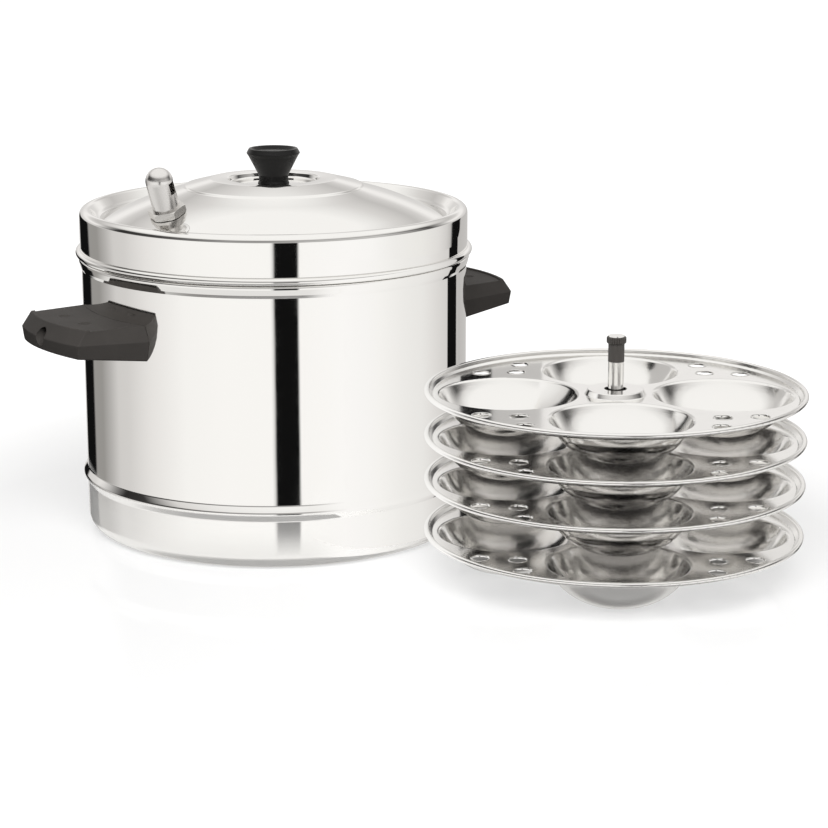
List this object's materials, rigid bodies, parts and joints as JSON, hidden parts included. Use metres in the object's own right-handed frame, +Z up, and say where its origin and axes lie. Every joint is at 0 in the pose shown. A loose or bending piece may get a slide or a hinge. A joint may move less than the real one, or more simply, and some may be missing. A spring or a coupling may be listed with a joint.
{
  "type": "idli steamer",
  "caption": "Tall round steel steaming pot with side handles, a domed lid with knob and steam whistle, and a lift-out stack of cupped, perforated plates on a centre rod.",
  "frame": {"origin": "centre of the pot's flat base, on the surface that the pot and the rack stand on", "axes": "+Z up along the pot's axis. +X and -X point along the two side handles. The lid's whistle leans out over the -X side, and the rack stands beside the pot on the -Y side."},
  "size_m": [0.3475, 0.4094, 0.2173],
  "materials": {
    "polished_steel": "mirror-polished stainless steel",
    "plain_steel": "satin stainless steel",
    "screw_steel": "bright steel fixings",
    "handle_plastic": "satin moulded phenolic, dark grey",
    "knob_plastic": "satin moulded phenolic, near black",
    "rack_plastic": "satin moulded plastic, dark grey",
    "seal_rubber": "matt silicone, grey",
    "brass": "turned brass"
  },
  "bodies": {
    "pot": {"pot_body": "polished_steel", "left_handle": "handle_plastic", "right_handle": "handle_plastic", "left_bracket": "plain_steel", "right_bracket": "plain_steel", "handle_screws": "screw_steel", "handle_washers": "screw_steel"},
    "lid": {"lid_shell": "polished_steel", "lid_knob": "knob_plastic", "knob_insert": "brass", "knob_washer": "screw_steel", "knob_screw": "screw_steel", "vent_stem": "polished_steel", "vent_seal": "seal_rubber", "vent_back_nut": "screw_steel", "vent_washer": "plain_steel"},
    "whistle": {"whistle_nut": "plain_steel", "whistle_cap": "polished_steel", "whistle_disc": "screw_steel"},
    "rack": {"rack_rod": "polished_steel", "rod_collar": "plain_steel", "foot_washer": "screw_steel", "foot_nut": "screw_steel", "plate_4": "polished_steel", "grip_sleeve": "rack_plastic"},
    "rod_head": {"rack_knob": "rack_plastic", "rack_knob_disc": "polished_steel"},
    "lower_spacer": {"spacer_3": "polished_steel"},
    "lower_plate": {"plate_3": "polished_steel"},
    "middle_spacer": {"spacer_2": "polished_steel"},
    "middle_plate": {"plate_2": "polished_steel"},
    "upper_spacer": {"spacer_1": "polished_steel"},
    "upper_plate": {"plate_1": "polished_steel"}
  },
  "joints": [
    {"name": "lid_lift", "type": "slide", "parent": "pot", "child": "lid", "axis": [0, 0, 1], "range_m": [0, 0.12]},
    {"name": "whistle_turn", "type": "hinge", "parent": "lid", "child": "whistle", "pos_m": [-0.08413, -0.03468, 0.18113], "axis": [-0.3164, -0.1304, 0.9396], "continuous": true},
    {"name": "rack_lift", "type": "slide", "parent": "pot", "child": "rack", "axis": [0, 0, 1], "range_m": [0, 0.165]},
    {"name": "rod_head_turn", "type": "hinge", "parent": "rack", "child": "rod_head", "pos_m": [0.09613, -0.19365, 0.1263], "axis": [0, 0, 1], "continuous": true},
    {"name": "lower_layer_lift", "type": "slide", "parent": "rack", "child": "lower_spacer", "axis": [0, 0, 1], "range_m": [0, 0.107]},
    {"name": "lower_plate_turn", "type": "hinge", "parent": "lower_spacer", "child": "lower_plate", "pos_m": [0.09613, -0.19365, 0.0496], "axis": [0, 0, 1], "continuous": true},
    {"name": "middle_layer_lift", "type": "slide", "parent": "lower_spacer", "child": "middle_spacer", "axis": [0, 0, 1], "range_m": [0, 0.083]},
    {"name": "middle_plate_turn", "type": "hinge", "parent": "middle_spacer", "child": "middle_plate", "pos_m": [0.09613, -0.19365, 0.074], "axis": [0, 0, 1], "continuous": true},
    {"name": "upper_layer_lift", "type": "slide", "parent": "middle_spacer", "child": "upper_spacer", "axis": [0, 0, 1], "range_m": [0, 0.058]},
    {"name": "upper_plate_turn", "type": "hinge", "parent": "upper_spacer", "child": "upper_plate", "pos_m": [0.09613, -0.19365, 0.0984], "axis": [0, 0, 1], "continuous": true}
  ]
}
